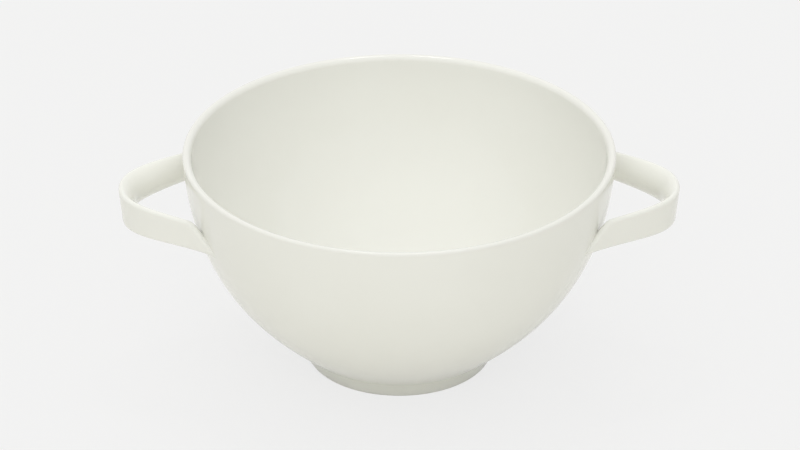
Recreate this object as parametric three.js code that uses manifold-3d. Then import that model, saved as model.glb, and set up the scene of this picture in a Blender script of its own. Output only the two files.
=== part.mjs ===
// A two-handled soup cup in glazed white porcelain: a deep bowl on a low turned foot ring,
// with a looped strap handle luted to the wall on each side.
// Millimetres, +Z up, origin on the table under the centre of the foot, handles along X.
import * as THREE from 'three';
import { mergeVertices } from 'three/addons/utils/BufferGeometryUtils.js';
import Module from 'manifold-3d';

// Bowl, outside
const rimDiameter = 120;
const cupHeight = 64;
const rimLean = 3.2; // degrees that the wall leans out from upright at the rim
const footSlope = 40.6; // degrees above level at which the wall rises from the foot
const rimPull = 33.9; // how far the lean at the rim carries down the wall's curve
const footPull = 16.4; // how far the slope at the foot carries up the wall's curve

// Bowl, inside
const lipOuterRadius = 0.8; // the lip is tight outside its crest
const lipInnerRadius = 1.6; // and rounder inside it
const floorThickness = 4.0;
const floorFlatRadius = 14;
const insideRimPull = 32;
const insideFloorPull = 20;

// Foot ring
const footHeight = 5.2;
const footTopRadius = 28.8;
const footBaseRadius = 26.1;
const footRingWidth = 3.6; // across the ring, at its base
const footDraft = 8; // degrees that the ring's inner wall leans
const footEdgeRadius = 0.6;

// Handles
const handleReach = 20.2; // from the wall to the outside of the loop's tip
const handleBelowRim = 10.9; // from the rim down to the strap's upper edge
const strapHeight = 10.4; // at the loop's tip
const strapRise = 2.0; // how much higher the lower edge is at the root than at the tip
const strapThickness = 3.0; // at half height
const strapEdgeRadius = 1.0; // outside, above and below
const strapFlare = 1.0; // how much further out the upper edge stands than the lower edge, at the tip
const rootSpacing = 48.5; // between the limbs of one loop, where they reach the wall
const limbAngle = 34.1; // degrees between a limb and the X axis
const tipPull = 10.9; // half width that the round tip keeps
const limbPull = 18; // length of the limb that stays nearly straight
const shoulderStart = 5.3; // before the root, where the upper edge begins to fall away
const shoulderEnd = 2.7; // past the root, where it is level again
const shoulderDrop = 6.0;
const shoulderRounding = 0.9; // share of the strap's half height that is rounded off at the root
const seatGap = 0.3; // slip joint between a handle and the wall

// Fineness of the facets
const turnSegments = 72;
const outsideSteps = 16;
const insideSteps = 18;
const lipSteps = 4;
const footEdgeSteps = 3;
const limbSteps = 22;
const shoulderEndSteps = 3;
const strapEdgeSteps = 3;
const strapInsideSteps = 10;

// Limits of the working
const heightHalvings = 40; // steps in which the wall's radius at a height is closed in on
const mergeDistance = 1e-4; // corners nearer than this are the same corner
const roundestEdge = 0.95; // share of the strap's half thickness or height that an edge may round off

const porcelain = { color: 0xf1f1eb, roughness: 0.16, metalness: 0 };

const rimRadius = rimDiameter / 2;
const footBaseInnerRadius = footBaseRadius - footRingWidth;
const floorTop = footHeight + floorThickness;
const strapTop = cupHeight - handleBelowRim;
const strapMiddle = strapTop - strapHeight / 2;
const crestToOutside = Math.min(strapEdgeRadius, (strapThickness / 2) * roundestEdge);
const crestToInside = strapThickness - crestToOutside;

const quarterTurn = Math.PI / 2;
const radians = THREE.MathUtils.degToRad;
const point = (x, y) => new THREE.Vector2(x, y);
const arcPoint = (centre, radius, angle) =>
  point(centre.x + radius * Math.cos(angle), centre.y + radius * Math.sin(angle));

// A run of points on an arc, both ends included
function arc(centre, radius, fromAngle, toAngle, steps) {
  const points = [];
  for (let step = 0; step <= steps; step += 1) {
    const angle = THREE.MathUtils.lerp(fromAngle, toAngle, step / steps);
    points.push(arcPoint(centre, radius, angle));
  }
  return points;
}

// Profiles are drawn as radius and height, then turned about the Z axis.
function turned(profile) {
  return new THREE.LatheGeometry(profile, turnSegments).rotateX(quarterTurn);
}

const crestRadius = rimRadius - lipOuterRadius;
const outerLipCentre = point(crestRadius, cupHeight - lipOuterRadius);
const innerLipCentre = point(crestRadius, cupHeight - lipInnerRadius);
const downTheWall = point(-Math.sin(radians(rimLean)), -Math.cos(radians(rimLean)));

// Outside of the wall, from just under the lip to the crease at the foot
function outsideCurve() {
  const start = arcPoint(outerLipCentre, lipOuterRadius, -radians(rimLean));
  const end = point(footTopRadius, footHeight);
  const upTheWall = point(Math.cos(radians(footSlope)), Math.sin(radians(footSlope)));
  return new THREE.CubicBezierCurve(
    start,
    start.clone().addScaledVector(downTheWall, rimPull),
    end.clone().addScaledVector(upTheWall, footPull),
    end,
  );
}

// Inside of the wall, from just under the lip to the flat middle of the floor
function insideCurve() {
  const start = arcPoint(innerLipCentre, lipInnerRadius, Math.PI - radians(rimLean));
  const end = point(floorFlatRadius, floorTop);
  return new THREE.CubicBezierCurve(
    start,
    start.clone().addScaledVector(downTheWall, insideRimPull),
    end.clone().add(point(insideFloorPull, 0)),
    end,
  );
}

function bowlGeometry() {
  const lean = radians(rimLean);
  const outerLip = arc(outerLipCentre, lipOuterRadius, -lean, quarterTurn, lipSteps);
  const innerLip = arc(innerLipCentre, lipInnerRadius, quarterTurn, Math.PI - lean, lipSteps);
  return turned([
    point(0, footHeight),
    ...outsideCurve().getPoints(outsideSteps).reverse(),
    ...outerLip.slice(1),
    ...innerLip.slice(1, -1),
    ...insideCurve().getPoints(insideSteps),
    point(0, floorTop),
  ]);
}

// The ring tapers in towards the table outside and opens downwards inside.
function footRingGeometry() {
  const outerLean = Math.atan2(footTopRadius - footBaseRadius, footHeight);
  const innerLean = radians(footDraft);
  const innerTop = point(footBaseInnerRadius - footHeight * Math.tan(innerLean), footHeight);
  const outerEdge = point(footBaseRadius - footEdgeRadius, footEdgeRadius);
  const innerEdge = point(footBaseInnerRadius + footEdgeRadius, footEdgeRadius);
  const down = -quarterTurn;
  return turned([
    innerTop,
    ...arc(innerEdge, footEdgeRadius, innerLean - Math.PI, down, footEdgeSteps),
    ...arc(outerEdge, footEdgeRadius, down, -outerLean, footEdgeSteps),
    point(footTopRadius, footHeight),
    innerTop.clone(),
  ]);
}

// Radius of the bowl's outside at a height, found by halving along the wall's curve
function wallRadius(height) {
  const curve = outsideCurve();
  let upper = 0;
  let lower = 1;
  for (let halving = 0; halving < heightHalvings; halving += 1) {
    const middle = (upper + lower) / 2;
    if (curve.getPoint(middle).y > height) upper = middle;
    else lower = middle;
  }
  return curve.getPoint(lower).x;
}

// The crest of one limb in plan, from the loop's tip along +Y and straight on into the wall, as far
// as its nearest point to the cup's axis. Each station has a place, the direction it is heading in
// and its distance from the root, negative inside the wall.
function limbStations() {
  const wall = wallRadius(strapMiddle);
  const tip = point(wall + handleReach - crestToOutside - strapFlare / 2, 0);
  const rootY = rootSpacing / 2;
  const root = point(Math.sqrt(wall ** 2 - rootY ** 2), rootY);
  const limbHeading = Math.PI - radians(limbAngle);
  const limb = new THREE.CubicBezierCurve(
    tip,
    tip.clone().add(point(0, tipPull)),
    arcPoint(root, -limbPull, limbHeading),
    root,
  );
  const stations = [];
  for (let step = 0; step < limbSteps; step += 1) {
    const share = step / limbSteps;
    stations.push({
      place: limb.getPointAt(share),
      heading: limb.getTangentAt(share).angle(),
      fromRoot: limb.getLength() * (1 - share),
    });
  }
  const addSunk = (sunk) =>
    stations.push({ place: arcPoint(root, sunk, limbHeading), heading: limbHeading, fromRoot: -sunk });
  for (let step = 0; step <= shoulderEndSteps; step += 1) {
    addSunk(shoulderEnd * step / shoulderEndSteps);
  }
  addSunk(-root.dot(arcPoint(point(0, 0), 1, limbHeading)));
  return stations;
}

// Upper and lower edge of the strap at each station: the lower edge rises and the flare dies away
// from the tip to the root, where the upper edge falls away over the shoulder.
function addStrapEdges(stations) {
  const limbLength = stations[0].fromRoot;
  for (const station of stations) {
    const towardsTip = THREE.MathUtils.smoothstep(station.fromRoot, 0, limbLength);
    station.shoulder = 1 - THREE.MathUtils.smoothstep(station.fromRoot, -shoulderEnd, shoulderStart);
    station.top = strapTop - shoulderDrop * station.shoulder;
    station.bottom = strapTop - strapHeight + strapRise * (1 - towardsTip);
    station.flare = strapFlare * towardsTip;
  }
  return stations;
}

// Cross-section of the strap at a station. It stands on edge and leans out by the flare, flat outside
// with rounded edges and half an ellipse inside, so its crest is near the outside.
function strapSection({ place, heading, top, bottom, shoulder, flare }) {
  const halfHeight = (top - bottom) / 2;
  const lowerRadius = Math.min(crestToOutside, halfHeight * roundestEdge);
  const upperRadius = THREE.MathUtils.lerp(lowerRadius, halfHeight * shoulderRounding, shoulder);
  const outerEdge = (height, radiusUp, turn) =>
    arc(point(0, 0), 1, quarterTurn * turn, quarterTurn * (turn + 1), strapEdgeSteps)
      .map((unit) => point(unit.x * crestToOutside, height + unit.y * radiusUp));
  const inside = arc(point(0, 0), 1, quarterTurn, quarterTurn * 3, strapInsideSteps)
    .map((unit) => point(unit.x * crestToInside, unit.y * halfHeight));
  const outline = [
    ...outerEdge(halfHeight - upperRadius, upperRadius, 0),
    ...inside.slice(1, -1),
    ...outerEdge(lowerRadius - halfHeight, lowerRadius, 3),
  ];
  const outward = heading - quarterTurn;
  return outline.map((spot) => {
    const out = spot.x + spot.y * flare / (top - bottom);
    const corner = arcPoint(place, out, outward);
    return new THREE.Vector3(corner.x, corner.y, (top + bottom) / 2 + spot.y);
  });
}

// A closed skin over a row of sections with equal numbers of points
function loft(sections) {
  const count = sections[0].length;
  const positions = sections.flat().flatMap((corner) => corner.toArray());
  const triangles = [];
  for (let row = 0; row < sections.length - 1; row += 1) {
    for (let index = 0; index < count; index += 1) {
      const here = row * count + index;
      const beside = row * count + ((index + 1) % count);
      triangles.push(here, beside, beside + count, here, beside + count, here + count);
    }
  }
  const lastRow = (sections.length - 1) * count;
  for (let index = 1; index < count - 1; index += 1) {
    triangles.push(0, index + 1, index);
    triangles.push(lastRow, lastRow + index, lastRow + index + 1);
  }
  const geometry = new THREE.BufferGeometry();
  geometry.setAttribute('position', new THREE.Float32BufferAttribute(positions, 3));
  geometry.setIndex(triangles);
  return geometry;
}

// Both limbs of a loop in one strap, the second a mirror image of the first across the X axis
function wholeStrapGeometry() {
  const limb = addStrapEdges(limbStations()).map(strapSection);
  const mirrored = (section) => section.map((corner) => new THREE.Vector3(corner.x, -corner.y, corner.z));
  const otherLimb = limb.slice(1).map(mirrored);
  return loft([...limb.reverse(), ...otherLimb]);
}

// The space that the bowl takes up outside, grown by the slip joint
function trimmingGeometry() {
  const curve = outsideCurve();
  const grownWall = [];
  for (let step = outsideSteps; step >= 0; step -= 1) {
    const along = curve.getTangent(step / outsideSteps);
    const outward = point(-along.y, along.x);
    grownWall.push(curve.getPoint(step / outsideSteps).addScaledVector(outward, seatGap));
  }
  const lowest = grownWall[0].y;
  const highest = grownWall[outsideSteps].y;
  return turned([point(0, lowest), ...grownWall, point(0, highest)]);
}

const wasm = await Module();
wasm.setup();

function toSolid(geometry) {
  const bare = geometry.clone();
  bare.deleteAttribute('normal');
  bare.deleteAttribute('uv');
  const merged = mergeVertices(bare, mergeDistance);
  const corners = merged.index.array;
  const triangles = [];
  for (let first = 0; first < corners.length; first += 3) {
    const [a, b, c] = corners.slice(first, first + 3);
    if (a !== b && b !== c && c !== a) triangles.push(a, b, c);
  }
  return new wasm.Manifold(new wasm.Mesh({
    numProp: 3,
    vertProperties: new Float32Array(merged.attributes.position.array),
    triVerts: new Uint32Array(triangles),
  }));
}

function toGeometry(solid) {
  const mesh = solid.getMesh();
  const geometry = new THREE.BufferGeometry();
  geometry.setAttribute('position', new THREE.BufferAttribute(mesh.vertProperties, 3));
  geometry.setIndex(new THREE.BufferAttribute(mesh.triVerts, 1));
  geometry.computeVertexNormals();
  return geometry;
}

function handleGeometry() {
  return toGeometry(toSolid(wholeStrapGeometry()).subtract(toSolid(trimmingGeometry())));
}

// Every piece has the same white glaze.
function named(name, geometry) {
  const mesh = new THREE.Mesh(geometry, new THREE.MeshStandardMaterial(porcelain));
  mesh.name = name;
  return mesh;
}

const cup = new THREE.Group();
cup.add(named('bowl', bowlGeometry()));
cup.add(named('foot_ring', footRingGeometry()));

const handleShape = handleGeometry();
const rightHandle = named('right_handle', handleShape);
const leftHandle = named('left_handle', handleShape);
leftHandle.rotation.z = Math.PI;
cup.add(rightHandle, leftHandle);

export default cup;
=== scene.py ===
"""Looks of a two-handled soup cup in glazed white porcelain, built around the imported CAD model.

Metres, +Z up, origin on the table under the foot, handles along X, the viewer on the -Y side.
"""

import math

import bpy
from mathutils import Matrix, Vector


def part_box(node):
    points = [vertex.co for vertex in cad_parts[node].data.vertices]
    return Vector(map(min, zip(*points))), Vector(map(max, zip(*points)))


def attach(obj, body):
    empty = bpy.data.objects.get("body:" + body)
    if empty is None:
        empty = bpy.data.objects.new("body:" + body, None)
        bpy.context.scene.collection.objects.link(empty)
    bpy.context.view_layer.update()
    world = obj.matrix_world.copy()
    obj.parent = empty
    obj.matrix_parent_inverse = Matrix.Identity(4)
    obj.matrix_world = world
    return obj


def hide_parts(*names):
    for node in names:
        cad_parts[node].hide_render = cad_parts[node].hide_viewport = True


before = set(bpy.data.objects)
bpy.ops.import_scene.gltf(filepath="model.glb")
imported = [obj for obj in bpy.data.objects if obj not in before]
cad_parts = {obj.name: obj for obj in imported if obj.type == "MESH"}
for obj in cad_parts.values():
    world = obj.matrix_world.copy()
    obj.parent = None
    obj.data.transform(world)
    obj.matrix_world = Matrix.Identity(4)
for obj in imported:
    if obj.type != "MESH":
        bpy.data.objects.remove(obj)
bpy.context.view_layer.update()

MM = 0.001

# Bowl: the curves of the CAD model, drawn finer
RIM_LEAN = math.radians(3.2)
FOOT_SLOPE = math.radians(40.6)
RIM_PULL = 33.9 * MM
FOOT_PULL = 16.4 * MM
LIP_OUTER_RADIUS = 0.8 * MM
LIP_INNER_RADIUS = 1.6 * MM
FLOOR_THICKNESS = 4.0 * MM
FLOOR_FLAT_RADIUS = 14.0 * MM
INSIDE_RIM_PULL = 32.0 * MM
INSIDE_FLOOR_PULL = 20.0 * MM
UNDERSIDE_DOME = 0.6 * MM

# Foot ring
FOOT_BASE_RADIUS = 26.1 * MM
FOOT_RING_WIDTH = 3.6 * MM
FOOT_DRAFT = math.radians(8.0)
FOOT_EDGE_RADIUS = 0.6 * MM

# Handles: those of the CAD model, with a fuller inside and a longer shoulder
HANDLE_REACH = 20.2 * MM
STRAP_THICKNESS = 3.0 * MM
STRAP_EDGE_RADIUS = 1.0 * MM
STRAP_RISE = 2.0 * MM
STRAP_FLARE = 1.0 * MM
STRAP_LENS = 0.6  # the inside's section: 0 is half an ellipse, 1 is half a lens
TIP_SWELL = 1.2 * MM
ROOT_SPACING = 48.5 * MM
LIMB_ANGLE = math.radians(34.1)
TIP_PULL = 10.9 * MM
LIMB_PULL = 18.0 * MM
SHOULDER_START = 6.4 * MM
SHOULDER_END = 2.7 * MM
SHOULDER_DROP = 6.4 * MM
SHOULDER_ROUNDING = 0.9  # radius of the fallen upper edge, as a share of half the height

# Slip fillet that joins a strap to the wall
OPEN_REACH = 2.6 * MM
WEDGE_REACH = 0.3 * MM
REACH_SHARE = 0.5  # the most reach, as a share of the strap's height there
SQUARE_CORNER = 0.5  # openness of a square corner, where 0 is a closed wedge and 1 is flat
FILLET_SINK = 0.04 * MM

# Fineness
TURN_SEGMENTS = 256
WALL_STEPS = 96
LIP_STEPS = 12
UNDERSIDE_STEPS = 24
EDGE_STEPS = 8
FLAT_STEPS = 8
INSIDE_STEPS = 32
LIMB_ROWS = 72
FILLET_ROWS = 12
LIMB_SAMPLES = 400
HALVINGS = 30
ON_AXIS = 0.0001 * MM
SLOPE_STEP = 0.1 * MM
SEARCH_START = 0.5  # the strap meets the wall between these shares of the limb's length
SEARCH_END = 1.5
SHARP_ANGLE = math.radians(35.0)

# Glaze: where it lies thin and where it pools. Both are darker than the even glaze, partly as painted
# shade: on the lip, which the top light makes bright, and in the foot's crease and the handles' roots,
# where shade falls
THIN_GLAZE_AND_LIP_SHADE = 0.0
EVEN_GLAZE = 0.5
POOLED_GLAZE_AND_CREASE_SHADE = 1.0
# how far the pooled glaze and painted crease shade reach from the foot's crease
CREASE_POOL_AND_SHADE_HEIGHT = 2.5 * MM
LIP_THIN_AND_SHADE_HEIGHT = 1.2 * MM
# colours of thin, even and pooled glaze: the thin one is darker partly as painted shade on the lit lip,
# the pooled one partly as painted shade in creases
GLAZE_AND_SHADE_STOPS = (
    (THIN_GLAZE_AND_LIP_SHADE, (0.85, 0.848, 0.81)),
    (EVEN_GLAZE, (0.878, 0.88, 0.838)),
    (POOLED_GLAZE_AND_CREASE_SHADE, (0.82, 0.83, 0.77)),
)
GLAZE_IOR = 1.5
GLOSSIEST = 0.06
DULLEST = 0.14
CLOUD_STOPS = ((0.35, (0.985, 0.985, 0.98)), (0.65, (1.0, 1.0, 1.0)))
WAVE_STRENGTH = 0.05
WAVE_HEIGHT = 1.0 * MM
PEEL_STRENGTH = 0.04
PEEL_HEIGHT = 0.1 * MM

# Bare porcelain where the foot stands
BARE_HEIGHT = 0.35 * MM
BARE_FADE = 0.12 * MM
BARE_ROUGHNESS = 0.75
BARE_STOPS = ((0.3, (0.6956, 0.6862, 0.6392)), (0.7, (0.74, 0.73, 0.68)))

# Noise of the materials, as scale per metre and detail
CLOUDS = (26.0, 3.0)
SHEEN = (160.0, 2.0)
WAVES = (55.0, 1.0)
PEEL = (850.0, 2.0)
GRAIN = (850.0, 4.0)

# Camera, fitted to the photograph's 800 by 450 pixels
CAMERA_TARGET = Vector((0.0, 0.0, 40.18 * MM))
CAMERA_DISTANCE = 1.2
CAMERA_ELEVATION = math.radians(28.62)
CAMERA_YAW = math.radians(0.43)
IMAGE_WIDTH_PIXELS = 800
FOCAL_PIXELS = 4294.8
AXIS_SHIFT_PIXELS = 0.75
SENSOR_WIDTH_MM = 36.0

# Table and backdrop
BACKDROP_COLOUR = (0.885, 0.885, 0.885)
TABLE_COLOUR = (0.845, 0.84, 0.8)
GLOW_SEEN = 0.85  # share of the table's look that takes no shadow, as the camera sees it
GLOW_MIRRORED = 0.4  # the same share in reflections
FLOOR_SIZE = 12.0

# Light of the tent, as direction, tightness and strength
TENT_TINT = (1.0, 0.998, 0.975)
BROAD = 3.0
NARROW = 9.0
TENT_LIGHTS = (
    (Vector((0.0, -0.89, 0.455)), NARROW, 2.14),
    (Vector((-0.545, 0.0, 0.839)), BROAD, 1.07),
    (Vector((0.545, 0.0, 0.839)), BROAD, 0.8),
    (Vector((0.0, 0.766, 0.643)), BROAD, 0.68),
)

# Pair of lamps that put the short highlights on the rim
LAMP_ASIDE = 0.115
LAMP_BEHIND = 0.4
LAMP_HEIGHT = 1.25
LAMP_WIDTH = 0.16
LAMP_DEPTH = 0.1
LAMP_WATTS = 0.6


def bezier(controls, share):
    """Point on a curve of any number of controls."""
    points = list(controls)
    while len(points) > 1:
        points = [a.lerp(b, share) for a, b in zip(points, points[1:])]
    return points[0]


def curve_points(controls, steps):
    return [bezier(controls, step / steps) for step in range(steps + 1)]


def smoothstep(value, low, high):
    share = min(max((value - low) / (high - low), 0.0), 1.0)
    return share * share * (3.0 - 2.0 * share)


def mix(start, end, share):
    return start + (end - start) * share


def direction(angle):
    return Vector((math.cos(angle), math.sin(angle)))


def arc(centre, radius, from_angle, to_angle, steps):
    angles = [mix(from_angle, to_angle, step / steps) for step in range(steps + 1)]
    return [centre + direction(angle) * radius for angle in angles]


# Sizes that the CAD model gives
bowl_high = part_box("bowl")[1]
foot_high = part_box("foot_ring")[1]
handle_low, handle_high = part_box("right_handle")
RIM_RADIUS = bowl_high.x
CUP_HEIGHT = bowl_high.z
FOOT_HEIGHT = foot_high.z
FOOT_TOP_RADIUS = foot_high.x
FLOOR_TOP = FOOT_HEIGHT + FLOOR_THICKNESS
STRAP_TOP = handle_high.z
STRAP_HEIGHT = handle_high.z - handle_low.z
STRAP_MIDDLE = (handle_high.z + handle_low.z) / 2

# Curves of the wall, as radius and height
CREST_RADIUS = RIM_RADIUS - LIP_OUTER_RADIUS
OUTER_LIP_CENTRE = Vector((CREST_RADIUS, CUP_HEIGHT - LIP_OUTER_RADIUS))
INNER_LIP_CENTRE = Vector((CREST_RADIUS, CUP_HEIGHT - LIP_INNER_RADIUS))
DOWN_THE_WALL = Vector((-math.sin(RIM_LEAN), -math.cos(RIM_LEAN)))
OUTSIDE_TOP = OUTER_LIP_CENTRE + direction(-RIM_LEAN) * LIP_OUTER_RADIUS
OUTSIDE_END = Vector((FOOT_TOP_RADIUS, FOOT_HEIGHT))
OUTSIDE_CURVE = (
    OUTSIDE_TOP,
    OUTSIDE_TOP + DOWN_THE_WALL * RIM_PULL,
    OUTSIDE_END + direction(FOOT_SLOPE) * FOOT_PULL,
    OUTSIDE_END,
)
INSIDE_TOP = INNER_LIP_CENTRE + direction(math.pi - RIM_LEAN) * LIP_INNER_RADIUS
INSIDE_END = Vector((FLOOR_FLAT_RADIUS, FLOOR_TOP))
INSIDE_CURVE = (
    INSIDE_TOP,
    INSIDE_TOP + DOWN_THE_WALL * INSIDE_RIM_PULL,
    INSIDE_END + Vector((INSIDE_FLOOR_PULL, 0.0)),
    INSIDE_END,
)


def wall_radius(height):
    """Radius of the bowl's outside at a height, by halving along the wall's curve."""
    upper, lower = 0.0, 1.0
    for _ in range(HALVINGS):
        middle = (upper + lower) / 2
        if bezier(OUTSIDE_CURVE, middle).y > height:
            upper = middle
        else:
            lower = middle
    return bezier(OUTSIDE_CURVE, lower).x


def add_piece(name, points, faces, glaze_and_shade_depths, material, node):
    """A smooth-shaded mesh piece that stands for a CAD node and carries its glaze depth with painted
    shade.
    """
    mesh = bpy.data.meshes.new(name)
    mesh.from_pydata(points, [], faces)
    mesh.shade_smooth()
    mesh.set_sharp_from_angle(angle=SHARP_ANGLE)
    depth = mesh.attributes.new("glaze_depth_and_shade", "FLOAT", "POINT")
    depth.data.foreach_set("value", glaze_and_shade_depths)
    mesh.materials.append(material)
    piece = bpy.data.objects.new(name, mesh)
    bpy.context.scene.collection.objects.link(piece)
    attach(piece, "root")
    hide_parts(node)


def turned(profile):
    """Points and faces of a profile turned about the Z axis. A point on the axis stays single."""
    points = []
    rows = []
    for spot in profile:
        if spot.x < ON_AXIS:
            rows.append([len(points)] * TURN_SEGMENTS)
            points.append((0.0, 0.0, spot.y))
            continue
        rows.append(list(range(len(points), len(points) + TURN_SEGMENTS)))
        for segment in range(TURN_SEGMENTS):
            around = direction(math.tau * segment / TURN_SEGMENTS) * spot.x
            points.append((around.x, around.y, spot.y))
    faces = []
    for lower, upper in zip(rows, rows[1:]):
        for segment in range(TURN_SEGMENTS):
            beside = (segment + 1) % TURN_SEGMENTS
            corners = [lower[segment], lower[beside], upper[beside], upper[segment]]
            faces.append(list(dict.fromkeys(corners)))
    return points, faces


def bowl_glaze_and_shade(point):
    """Glaze runs thin over the lip and pools above the crease at the foot. Both are darker, partly as
    painted shade on the lit lip and in the crease.
    """
    height = point[2]
    thin_and_shaded = smoothstep(height, CUP_HEIGHT - LIP_THIN_AND_SHADE_HEIGHT, CUP_HEIGHT)
    pooled_and_shaded = 1.0 - smoothstep(height, FOOT_HEIGHT, FOOT_HEIGHT + CREASE_POOL_AND_SHADE_HEIGHT)
    return mix(mix(EVEN_GLAZE, THIN_GLAZE_AND_LIP_SHADE, thin_and_shaded), POOLED_GLAZE_AND_CREASE_SHADE, pooled_and_shaded)


def add_bowl(material):
    underside_top = Vector((0.0, FOOT_HEIGHT + UNDERSIDE_DOME))
    underside_side = Vector((FOOT_BASE_RADIUS - FOOT_RING_WIDTH, FOOT_HEIGHT))
    underside_level = Vector((underside_side.x / 2, underside_top.y))
    profile = curve_points((underside_top, underside_level, underside_side), UNDERSIDE_STEPS)
    profile += curve_points(OUTSIDE_CURVE, WALL_STEPS)[::-1]
    crest = math.pi / 2
    profile += arc(OUTER_LIP_CENTRE, LIP_OUTER_RADIUS, -RIM_LEAN, crest, LIP_STEPS)[1:]
    profile += arc(INNER_LIP_CENTRE, LIP_INNER_RADIUS, crest, math.pi - RIM_LEAN, LIP_STEPS)[1:-1]
    profile += curve_points(INSIDE_CURVE, WALL_STEPS)
    profile.append(Vector((0.0, FLOOR_TOP)))
    points, faces = turned(profile)
    glaze_and_shade_depths = [bowl_glaze_and_shade(point) for point in points]
    add_piece("bowl_glazed", points, faces, glaze_and_shade_depths, material, "bowl")


def add_foot_ring(material):
    """The ring tapers in towards the table outside and opens downwards inside."""
    inner_base = FOOT_BASE_RADIUS - FOOT_RING_WIDTH
    outer_lean = math.atan2(FOOT_TOP_RADIUS - FOOT_BASE_RADIUS, FOOT_HEIGHT)
    inner_top = Vector((inner_base - FOOT_HEIGHT * math.tan(FOOT_DRAFT), FOOT_HEIGHT))
    inner_edge = Vector((inner_base + FOOT_EDGE_RADIUS, FOOT_EDGE_RADIUS))
    outer_edge = Vector((FOOT_BASE_RADIUS - FOOT_EDGE_RADIUS, FOOT_EDGE_RADIUS))
    down = -math.pi / 2
    profile = [inner_top]
    profile += arc(inner_edge, FOOT_EDGE_RADIUS, FOOT_DRAFT - math.pi, down, EDGE_STEPS)
    profile += arc(outer_edge, FOOT_EDGE_RADIUS, down, -outer_lean, EDGE_STEPS)
    profile.append(Vector((FOOT_TOP_RADIUS, FOOT_HEIGHT)))
    points, faces = turned(profile)
    glaze_and_shade_depths = []
    for point in points:
        # darker towards the bowl: pooled glaze and painted shade in the crease
        pooled_and_shaded = smoothstep(point[2], FOOT_HEIGHT - CREASE_POOL_AND_SHADE_HEIGHT, FOOT_HEIGHT)
        glaze_and_shade_depths.append(mix(EVEN_GLAZE, POOLED_GLAZE_AND_CREASE_SHADE, pooled_and_shaded))
    add_piece("foot_ring_glazed", points, faces, glaze_and_shade_depths, material, "foot_ring")


# The crest of one limb in plan: from the loop's tip along +Y, then straight on into the wall
WALL_AT_STRAP = wall_radius(STRAP_MIDDLE)
TIP = Vector((WALL_AT_STRAP + HANDLE_REACH - STRAP_EDGE_RADIUS - STRAP_FLARE / 2, 0.0))
ROOT = Vector((math.sqrt(WALL_AT_STRAP**2 - (ROOT_SPACING / 2) ** 2), ROOT_SPACING / 2))
ROOT_HEADING = direction(math.pi - LIMB_ANGLE)
LIMB_CURVE = (TIP, TIP + Vector((0.0, TIP_PULL)), ROOT - ROOT_HEADING * LIMB_PULL, ROOT)
LIMB_SLOPES = [after - before for before, after in zip(LIMB_CURVE, LIMB_CURVE[1:])]
LIMB_POINTS = curve_points(LIMB_CURVE, LIMB_SAMPLES)
LIMB_LENGTHS = [0.0]
for before, after in zip(LIMB_POINTS, LIMB_POINTS[1:]):
    LIMB_LENGTHS.append(LIMB_LENGTHS[-1] + (after - before).length)
LIMB_LENGTH = LIMB_LENGTHS[-1]


def limb_place(distance):
    """Place and heading at a distance from the tip along the limb's crest."""
    if distance >= LIMB_LENGTH:
        return ROOT + ROOT_HEADING * (distance - LIMB_LENGTH), ROOT_HEADING
    index = 0
    while LIMB_LENGTHS[index + 1] < distance:
        index += 1
    span = LIMB_LENGTHS[index + 1] - LIMB_LENGTHS[index]
    share = (index + (distance - LIMB_LENGTHS[index]) / span) / LIMB_SAMPLES
    return bezier(LIMB_CURVE, share), bezier(LIMB_SLOPES, share).normalized()


def tip_share(distance):
    """1 at the loop's tip, 0 at its roots."""
    return 1.0 - smoothstep(distance, 0.0, LIMB_LENGTH)


def shoulder_share(distance):
    """0 along the limb, 1 where the shoulder has fallen all the way."""
    return smoothstep(distance, LIMB_LENGTH - SHOULDER_START, LIMB_LENGTH + SHOULDER_END)


def strap_edges(distance):
    """Heights of the strap's upper and lower edges at a distance from the tip."""
    top = STRAP_TOP - SHOULDER_DROP * shoulder_share(distance)
    bottom = STRAP_TOP - STRAP_HEIGHT + STRAP_RISE * (1.0 - tip_share(distance))
    return top, bottom


def strap_spots():
    """Spots round the section, as unit directions. Those outside have their share of the way down."""
    quarter = math.pi / 2
    middle = Vector((0.0, 0.0))
    flat = Vector((1.0, 0.0))
    spots = [(unit, 0.0) for unit in arc(middle, 1.0, 0.0, quarter, EDGE_STEPS)]
    spots += [(unit, None) for unit in arc(middle, 1.0, quarter, 3 * quarter, INSIDE_STEPS)[1:-1]]
    spots += [(unit, 1.0) for unit in arc(middle, 1.0, -quarter, 0.0, EDGE_STEPS)]
    spots += [(flat, 1.0 - step / FLAT_STEPS) for step in range(1, FLAT_STEPS)]
    return spots


def inside_offset(distance, unit, half_height):
    """Out and up from the section's middle, on the inside, which is fuller towards the tip."""
    belly = mix(-unit.x, unit.x * unit.x, STRAP_LENS)
    depth = STRAP_THICKNESS - STRAP_EDGE_RADIUS + TIP_SWELL * tip_share(distance)
    return -belly * depth, unit.y * half_height


def outside_offset(distance, unit, down_share, half_height):
    """Out and up from the section's middle, on the outside, whose upper edge the shoulder rounds."""
    lower_radius = min(STRAP_EDGE_RADIUS, half_height)
    upper_radius = mix(lower_radius, half_height * SHOULDER_ROUNDING, shoulder_share(distance))
    corner = mix(half_height - upper_radius, lower_radius - half_height, down_share)
    up = corner + unit.y * (upper_radius if unit.y > 0.0 else lower_radius)
    return unit.x * STRAP_EDGE_RADIUS, up


def strap_point(distance, spot):
    """Where a spot of the section is at a distance from the tip."""
    unit, down_share = spot
    top, bottom = strap_edges(distance)
    half_height = (top - bottom) / 2
    if down_share is None:
        out, up = inside_offset(distance, unit, half_height)
    else:
        out, up = outside_offset(distance, unit, down_share, half_height)
    out += STRAP_FLARE * tip_share(distance) * up / (top - bottom)
    place, heading = limb_place(distance)
    plan = place + Vector((heading.y, -heading.x)) * out
    return Vector((plan.x, plan.y, (top + bottom) / 2 + up))


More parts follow.
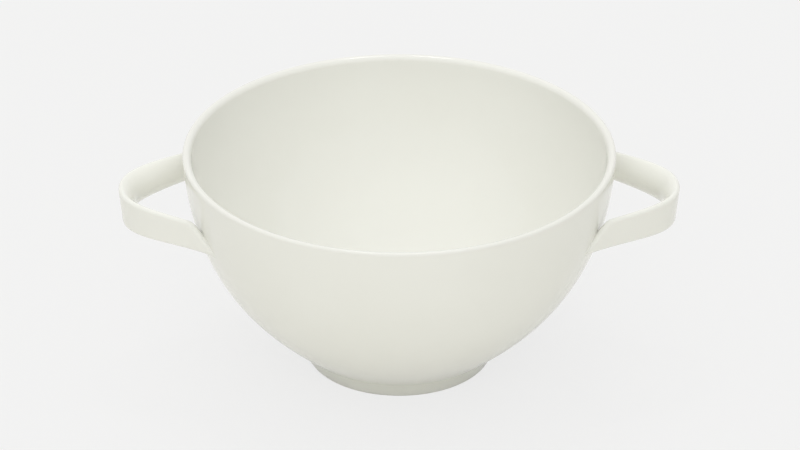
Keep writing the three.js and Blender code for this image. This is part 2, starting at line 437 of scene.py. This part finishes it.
def wall_distance(spot):
    """Distance from the tip at which the strap's line through a spot meets the wall."""
    outside, inside = LIMB_LENGTH * SEARCH_START, LIMB_LENGTH * SEARCH_END
    for _ in range(HALVINGS):
        middle = (outside + inside) / 2
        point = strap_point(middle, spot)
        if point.xy.length > wall_radius(point.z):
            outside = middle
        else:
            inside = middle
    return outside


def on_wall(point, sink):
    """The point moved straight out or in to the wall's surface, less the sink."""
    around = point.xy.normalized() * (wall_radius(point.z) - sink)
    return Vector((around.x, around.y, point.z))


def wall_normal(point):
    rise = wall_radius(point.z + SLOPE_STEP) - wall_radius(point.z - SLOPE_STEP)
    around = point.xy.normalized()
    return Vector((around.x, around.y, -rise / (2 * SLOPE_STEP))).normalized()


def outward_on_wall(contact, along, middle):
    """Direction on the wall that leads away from the strap at a point of its contact."""
    outward = wall_normal(contact).cross(along).normalized()
    if outward.dot(contact - middle) < 0.0:
        outward.negate()
    return outward


def fillet_reach(meet, spot, contact, outward):
    """Wide where the strap and the wall meet at an open angle, narrow in a wedge or on a low strap."""
    back = strap_point(meet - OPEN_REACH, spot) - contact
    openness = (1.0 - back.normalized().dot(outward)) / 2
    top, bottom = strap_edges(meet)
    widest = min(OPEN_REACH, (top - bottom) * REACH_SHARE)
    return mix(WEDGE_REACH, widest, smoothstep(openness, SQUARE_CORNER, 1.0))


def fillet_rows(spots, meets, contacts):
    """Rows of points that sweep from the strap on to the wall, and the distances at which they start."""
    count = len(spots)
    middle = sum(contacts, Vector()) / count
    starts = []
    rows = [[] for _ in range(FILLET_ROWS)]
    for index, contact in enumerate(contacts):
        along = contacts[(index + 1) % count] - contacts[index - 1]
        outward = outward_on_wall(contact, along, middle)
        reach = fillet_reach(meets[index], spots[index], contact, outward)
        starts.append(meets[index] - reach)
        start = strap_point(starts[index], spots[index])
        end = on_wall(contact + outward * reach, FILLET_SINK)
        for row in range(FILLET_ROWS):
            rows[row].append(bezier((start, contact, end), (row + 1) / FILLET_ROWS))
    return rows, starts


def limb_rows():
    """Rows of points of one limb, from the loop's tip to the wall, and their glaze depths, which darken
    the fillet at the wall with pooled glaze and painted shade.
    """
    spots = strap_spots()
    meets = [wall_distance(spot) for spot in spots]
    contacts = [strap_point(meet, spot) for meet, spot in zip(meets, spots)]
    fillet, starts = fillet_rows(spots, meets, contacts)
    rows = []
    glaze_and_shade_depths = []
    for row in range(LIMB_ROWS + 1):
        share = row / LIMB_ROWS
        rows.append([strap_point(start * share, spot) for start, spot in zip(starts, spots)])
        glaze_and_shade_depths.append([EVEN_GLAZE] * len(spots))
    for row, points in enumerate(fillet):
        # darker towards the wall: pooled glaze and painted shade where the strap meets it
        pooled_and_shaded = mix(EVEN_GLAZE, POOLED_GLAZE_AND_CREASE_SHADE, (row + 1) / FILLET_ROWS)
        rows.append(points)
        glaze_and_shade_depths.append([pooled_and_shaded] * len(spots))
    return rows, glaze_and_shade_depths


def loft(rows):
    """Closed skin over rows of equal numbers of points."""
    count = len(rows[0])
    points = [point for row in rows for point in row]
    faces = []
    for row in range(len(rows) - 1):
        for index in range(count):
            here = row * count + index
            beside = row * count + (index + 1) % count
            faces.append((here, beside, beside + count, here + count))
    faces.append(tuple(range(count - 1, -1, -1)))
    faces.append(tuple(range(len(points) - count, len(points))))
    return points, faces


def add_handles(material):
    """Both handles: a loop of two mirrored limbs, and the same loop turned half round."""
    rows, glaze_and_shade_depths = limb_rows()
    mirrored = [[Vector((point.x, -point.y, point.z)) for point in row] for row in rows]
    points, faces = loft(rows[::-1] + mirrored[1:])
    loop_glaze_and_shade = [depth for row in glaze_and_shade_depths[::-1] + glaze_and_shade_depths[1:] for depth in row]
    turned_round = [Vector((-point.x, -point.y, point.z)) for point in points]
    for name, places in (("right_handle", points), ("left_handle", turned_round)):
        add_piece(name + "_glazed", places, faces, loop_glaze_and_shade, material, name)


def opaque(colour):
    return (*colour, 1.0)


def add_node(tree, kind, **settings):
    node = tree.nodes.new(kind)
    for name, value in settings.items():
        setattr(node, name, value)
    return node


def feed(tree, socket, value):
    """Links another node's output to a socket, or sets the socket to a plain value."""
    if isinstance(value, bpy.types.NodeSocket):
        tree.links.new(value, socket)
    else:
        socket.default_value = value


def noise(tree, coordinates, scale, detail):
    node = add_node(tree, "ShaderNodeTexNoise")
    feed(tree, node.inputs["Vector"], coordinates)
    feed(tree, node.inputs["Scale"], scale)
    feed(tree, node.inputs["Detail"], detail)
    return node.outputs["Fac"]


def ramp(tree, factor, stops):
    """Colour ramp through (position, colour) stops."""
    node = add_node(tree, "ShaderNodeValToRGB")
    elements = node.color_ramp.elements
    for element, (position, colour) in zip(elements, (stops[0], stops[-1])):
        element.position = position
        element.color = opaque(colour)
    for position, colour in stops[1:-1]:
        elements.new(position).color = opaque(colour)
    feed(tree, node.inputs["Fac"], factor)
    return node.outputs["Color"]


def mixed(tree, kind, factor, first, second, blend="MIX"):
    """Mix of two colours (kind RGBA) or two numbers (kind FLOAT)."""
    node = add_node(tree, "ShaderNodeMix", data_type=kind, blend_type=blend)
    feed(tree, node.inputs["Factor"], factor)
    feed(tree, node.inputs["A"], first)
    feed(tree, node.inputs["B"], second)
    return node.outputs["Result"]


def mixed_shader(tree, factor, first, second):
    node = add_node(tree, "ShaderNodeMixShader")
    for socket, value in zip(node.inputs, (factor, first, second)):
        feed(tree, socket, value)
    return node.outputs["Shader"]


def map_range(tree, value, to_low, to_high, from_low=0.0, from_high=1.0):
    node = add_node(tree, "ShaderNodeMapRange")
    feed(tree, node.inputs["Value"], value)
    feed(tree, node.inputs["From Min"], from_low)
    feed(tree, node.inputs["From Max"], from_high)
    feed(tree, node.inputs["To Min"], to_low)
    feed(tree, node.inputs["To Max"], to_high)
    return node.outputs["Result"]


def calculated(tree, operation, *values):
    """Output of a Math node over numbers and other nodes' outputs."""
    node = add_node(tree, "ShaderNodeMath", operation=operation)
    for socket, value in zip(node.inputs, values):
        feed(tree, socket, value)
    return node.outputs["Value"]


def bump(tree, height, strength, distance, normal=None):
    node = add_node(tree, "ShaderNodeBump")
    feed(tree, node.inputs["Height"], height)
    feed(tree, node.inputs["Strength"], strength)
    feed(tree, node.inputs["Distance"], distance)
    if normal:
        feed(tree, node.inputs["Normal"], normal)
    return node.outputs["Normal"]


def glaze_material(name):
    """Clear gloss glaze over off-white porcelain: pools, thin edges, clouding and orange peel. Pools and
    thin edges are darker, partly as painted shade.
    """
    material = bpy.data.materials.new(name)
    material.use_nodes = True
    tree = material.node_tree
    shader = tree.nodes["Principled BSDF"]
    shader.inputs["IOR"].default_value = GLAZE_IOR
    place = add_node(tree, "ShaderNodeTexCoord").outputs["Object"]
    depth = add_node(tree, "ShaderNodeAttribute", attribute_name="glaze_depth_and_shade").outputs["Fac"]
    body = ramp(tree, depth, GLAZE_AND_SHADE_STOPS)
    clouding = ramp(tree, noise(tree, place, *CLOUDS), CLOUD_STOPS)
    colour = mixed(tree, "RGBA", 1.0, body, clouding, "MULTIPLY")
    roughness = map_range(tree, noise(tree, place, *SHEEN), GLOSSIEST, DULLEST)
    waves = bump(tree, noise(tree, place, *WAVES), WAVE_STRENGTH, WAVE_HEIGHT)
    peel = bump(tree, noise(tree, place, *PEEL), PEEL_STRENGTH, PEEL_HEIGHT, waves)
    feed(tree, shader.inputs["Base Color"], colour)
    feed(tree, shader.inputs["Roughness"], roughness)
    feed(tree, shader.inputs["Normal"], peel)
    return material


def foot_material():
    """The same glaze, wiped off where the ring stands on the table."""
    material = glaze_material("foot_glaze")
    tree = material.node_tree
    shader = tree.nodes["Principled BSDF"]
    place = add_node(tree, "ShaderNodeTexCoord").outputs["Object"]
    split = add_node(tree, "ShaderNodeSeparateXYZ")
    feed(tree, split.inputs["Vector"], place)
    bare = map_range(tree, split.outputs["Z"], 1.0, 0.0, BARE_HEIGHT, BARE_HEIGHT + BARE_FADE)
    bare_colour = ramp(tree, noise(tree, place, *GRAIN), BARE_STOPS)
    glazed = shader.inputs["Base Color"].links[0].from_socket
    gloss = shader.inputs["Roughness"].links[0].from_socket
    feed(tree, shader.inputs["Base Color"], mixed(tree, "RGBA", bare, glazed, bare_colour))
    feed(tree, shader.inputs["Roughness"], mixed(tree, "FLOAT", bare, gloss, BARE_ROUGHNESS))
    return material


def seen_directly(tree):
    """1 for rays from the camera, mirrors and glass, which see the backdrop."""
    path = add_node(tree, "ShaderNodeLightPath")
    seen = path.outputs["Is Camera Ray"]
    for name in ("Is Glossy Ray", "Is Transmission Ray"):
        seen = calculated(tree, "MAXIMUM", seen, path.outputs[name])
    return seen


def floor_material():
    """Pale as the backdrop where it is seen, with some of the cup's shadow, and a table's bounce."""
    material = bpy.data.materials.new("floor_pale")
    material.use_nodes = True
    tree = material.node_tree
    tree.nodes.clear()
    backdrop = opaque(BACKDROP_COLOUR)
    seen = seen_directly(tree)
    diffuse = add_node(tree, "ShaderNodeBsdfDiffuse")
    feed(tree, diffuse.inputs["Color"], mixed(tree, "RGBA", seen, opaque(TABLE_COLOUR), backdrop))
    glow = add_node(tree, "ShaderNodeEmission")
    feed(tree, glow.inputs["Color"], backdrop)
    mirrored = calculated(tree, "MULTIPLY", seen, GLOW_MIRRORED)
    camera_ray = add_node(tree, "ShaderNodeLightPath").outputs["Is Camera Ray"]
    share = calculated(tree, "MULTIPLY_ADD", camera_ray, GLOW_SEEN - GLOW_MIRRORED, mirrored)
    surface = mixed_shader(tree, share, diffuse.outputs["BSDF"], glow.outputs["Emission"])
    output = add_node(tree, "ShaderNodeOutputMaterial")
    feed(tree, output.inputs["Surface"], surface)
    return material


def add_floor():
    half = FLOOR_SIZE / 2
    corners = [(-half, -half, 0.0), (half, -half, 0.0), (half, half, 0.0), (-half, half, 0.0)]
    mesh = bpy.data.meshes.new("floor")
    mesh.from_pydata(corners, [], [(0, 1, 2, 3)])
    mesh.materials.append(floor_material())
    floor = bpy.data.objects.new("floor", mesh)
    bpy.context.scene.collection.objects.link(floor)


def tent_strength(tree):
    """The sum of the tent's lights, each brightest in its own direction."""
    place = add_node(tree, "ShaderNodeTexCoord").outputs["Generated"]
    total = 0.0
    for towards, tightness, strength in TENT_LIGHTS:
        facing = add_node(tree, "ShaderNodeVectorMath", operation="DOT_PRODUCT")
        feed(tree, facing.inputs[0], place)
        feed(tree, facing.inputs[1], towards.normalized())
        lit = calculated(tree, "MAXIMUM", facing.outputs["Value"], 0.0)
        falloff = calculated(tree, "POWER", lit, tightness)
        total = calculated(tree, "MULTIPLY_ADD", falloff, strength, total)
    return total


def background(tree, colour, strength):
    node = add_node(tree, "ShaderNodeBackground")
    feed(tree, node.inputs["Color"], opaque(colour))
    feed(tree, node.inputs["Strength"], strength)
    return node.outputs["Background"]


def add_world():
    """A white tent that is lit softly from outside, and a pale backdrop."""
    world = bpy.data.worlds.new("studio")
    bpy.context.scene.world = world
    world.use_nodes = True
    tree = world.node_tree
    tree.nodes.clear()
    light = background(tree, TENT_TINT, tent_strength(tree))
    backdrop = background(tree, BACKDROP_COLOUR, 1.0)
    output = add_node(tree, "ShaderNodeOutputWorld")
    feed(tree, output.inputs["Surface"], mixed_shader(tree, seen_directly(tree), light, backdrop))


def add_lamps():
    """Two small area lamps above and behind the cup that point at its middle."""
    for side in (-1, 1):
        lamp = bpy.data.lights.new("top_softbox", "AREA")
        lamp.shape = "RECTANGLE"
        lamp.size = LAMP_WIDTH
        lamp.size_y = LAMP_DEPTH
        lamp.energy = LAMP_WATTS
        softbox = bpy.data.objects.new("top_softbox", lamp)
        softbox.location = Vector((side * LAMP_ASIDE, LAMP_BEHIND, LAMP_HEIGHT))
        softbox.rotation_euler = (softbox.location - CAMERA_TARGET).to_track_quat("Z", "Y").to_euler()
        bpy.context.scene.collection.objects.link(softbox)


def add_camera():
    data = bpy.data.cameras.new("camera")
    data.sensor_width = SENSOR_WIDTH_MM
    data.lens = SENSOR_WIDTH_MM * FOCAL_PIXELS / IMAGE_WIDTH_PIXELS
    data.shift_x = AXIS_SHIFT_PIXELS / IMAGE_WIDTH_PIXELS
    level = math.cos(CAMERA_ELEVATION)
    back = Vector(
        (-math.sin(CAMERA_YAW) * level, -math.cos(CAMERA_YAW) * level, math.sin(CAMERA_ELEVATION))
    )
    camera = bpy.data.objects.new("camera", data)
    camera.location = CAMERA_TARGET + back * CAMERA_DISTANCE
    camera.rotation_euler = back.to_track_quat("Z", "Y").to_euler()
    bpy.context.scene.collection.objects.link(camera)
    bpy.context.scene.camera = camera


add_camera()
glaze = glaze_material("porcelain_glaze")
add_bowl(glaze)
add_foot_ring(foot_material())
add_handles(glaze)
add_floor()
add_world()
add_lamps()
bpy.context.scene.view_settings.view_transform = "Standard"
